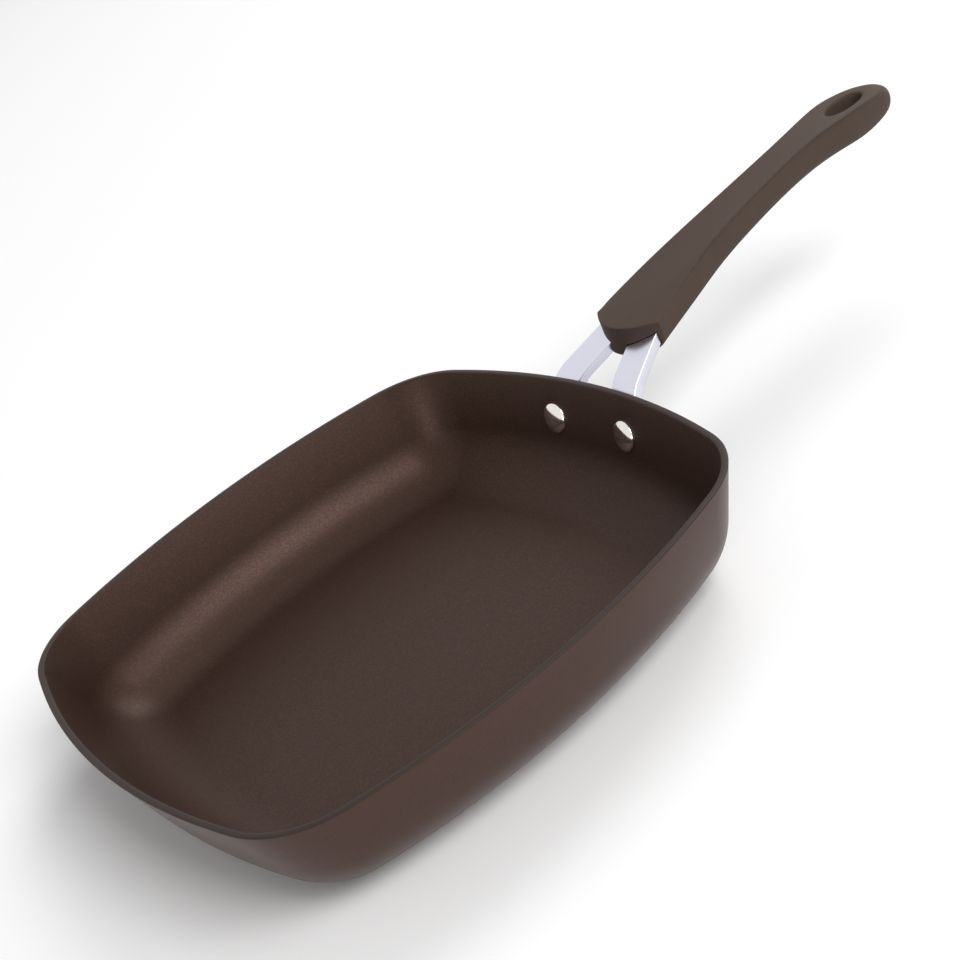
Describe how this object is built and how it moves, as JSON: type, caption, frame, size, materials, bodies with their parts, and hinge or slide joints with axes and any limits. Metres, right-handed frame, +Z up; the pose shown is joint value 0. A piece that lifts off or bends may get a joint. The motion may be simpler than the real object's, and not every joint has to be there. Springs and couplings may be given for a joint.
{
  "type": "square frying pan",
  "caption": "Deep square non-stick pan with bowed sides and rounded corners, a forked steel bracket riveted to one wall and a long moulded grip with an oval hang hole.",
  "frame": {"origin": "centre of the pan's flat underside, on the surface it stands on", "axes": "+X along the handle away from the pan, +Y to the left of someone who faces along +X, +Z up out of the pan"},
  "size_m": [0.5105, 0.2796, 0.0927],
  "materials": {
    "coated_aluminium": "drawn hard-anodised aluminium, satin brown, with a non-stick coat inside that holds a fine metallic fleck",
    "stainless_steel": "formed stainless strap with a soft polished face",
    "polished_rivet": "solid rivet with a mirror-polished dome",
    "soft_touch_grip": "moulded heat-resistant plastic with a matte soft-touch face",
    "zinc_steel": "zinc-plated steel screw and washer",
    "brass": "turned brass threaded insert"
  },
  "bodies": {
    "root": {"pan_body": "coated_aluminium", "handle_fork": "stainless_steel", "rivet_left": "polished_rivet", "rivet_right": "polished_rivet", "grip": "soft_touch_grip", "fixing_screw": "zinc_steel", "lock_washer": "zinc_steel", "threaded_insert": "brass"}
  },
  "joints": []
}
